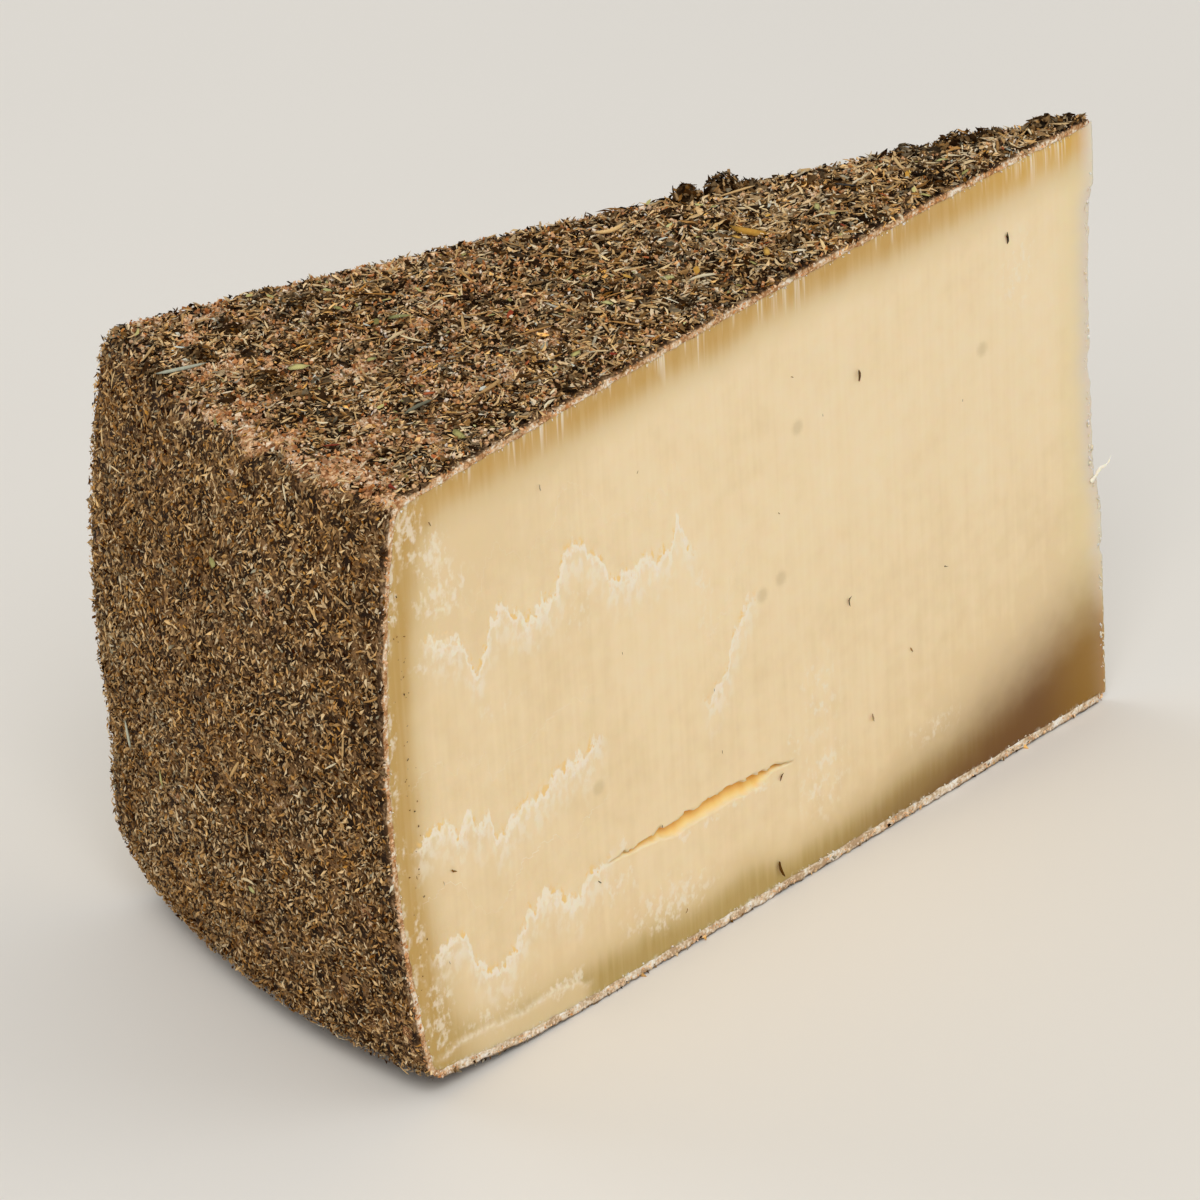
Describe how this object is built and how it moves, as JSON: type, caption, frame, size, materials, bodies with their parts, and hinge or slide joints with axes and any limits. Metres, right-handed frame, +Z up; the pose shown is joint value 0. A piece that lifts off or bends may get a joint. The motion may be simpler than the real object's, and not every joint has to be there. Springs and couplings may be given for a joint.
{
  "type": "herb-crusted hard cheese wedge",
  "caption": "Tall wedge of pale hard cheese cut from a low round wheel, with a crust of dried herbs on its top, its underside and its rounded side.",
  "frame": {"origin": "middle of the wedge's box at the level of its underside", "axes": "+Z up, +X from the rind side towards the sharp tip, +Y towards the plain cut face; the cut face with the split looks towards -Y"},
  "size_m": [0.1504, 0.0754, 0.0925],
  "materials": {
    "paste": "dense pale straw cheese paste, waxy and slightly translucent, darker and more amber beside the rind",
    "rind": "dry crumbly tan rind, matt",
    "herbs": "dried leaf and stalk fragments, dark brown to straw with a few green and red bits, matt"
  },
  "bodies": {
    "root": {"cheese_wedge": "paste"}
  },
  "joints": []
}
